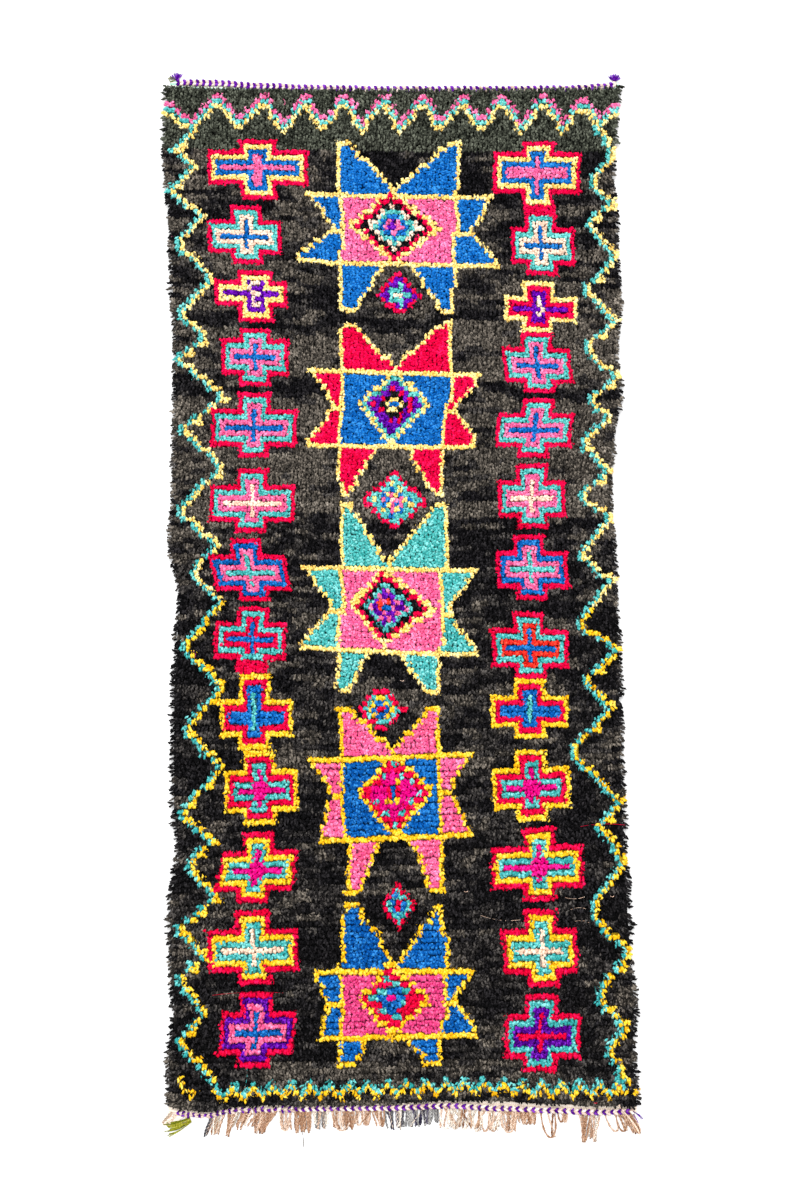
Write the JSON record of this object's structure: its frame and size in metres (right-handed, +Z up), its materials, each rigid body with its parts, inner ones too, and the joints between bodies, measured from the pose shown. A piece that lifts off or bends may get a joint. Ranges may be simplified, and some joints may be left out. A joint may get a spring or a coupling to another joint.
{
  "type": "boucherouite rug",
  "caption": "Long knotted shag rug lying flat: bright stars and stepped crosses on black, twined ends and a warp fringe.",
  "frame": {"origin": "centre of the underside, on the floor", "axes": "+X to the rug's right, +Y along the rug to its head end, +Z up out of the pile"},
  "size_m": [1.2633, 2.7873, 0.026],
  "materials": {
    "pile_yarn": "matte knotted pile of rag and wool yarn, charcoal ground",
    "twined_yarn": "matte twined violet and cream yarn",
    "warp_yarn": "matte beige plied warp yarn",
    "violet_yarn": "matte violet yarn",
    "green_yarn": "matte olive green yarn"
  },
  "bodies": {
    "root": {"pile_field": "pile_yarn", "head_twining": "twined_yarn", "tail_twining": "twined_yarn", "warp_fringe": "warp_yarn", "head_left_tuft": "violet_yarn", "head_right_tuft": "violet_yarn", "tail_left_tuft": "green_yarn", "tail_right_tuft": "violet_yarn"}
  },
  "joints": []
}
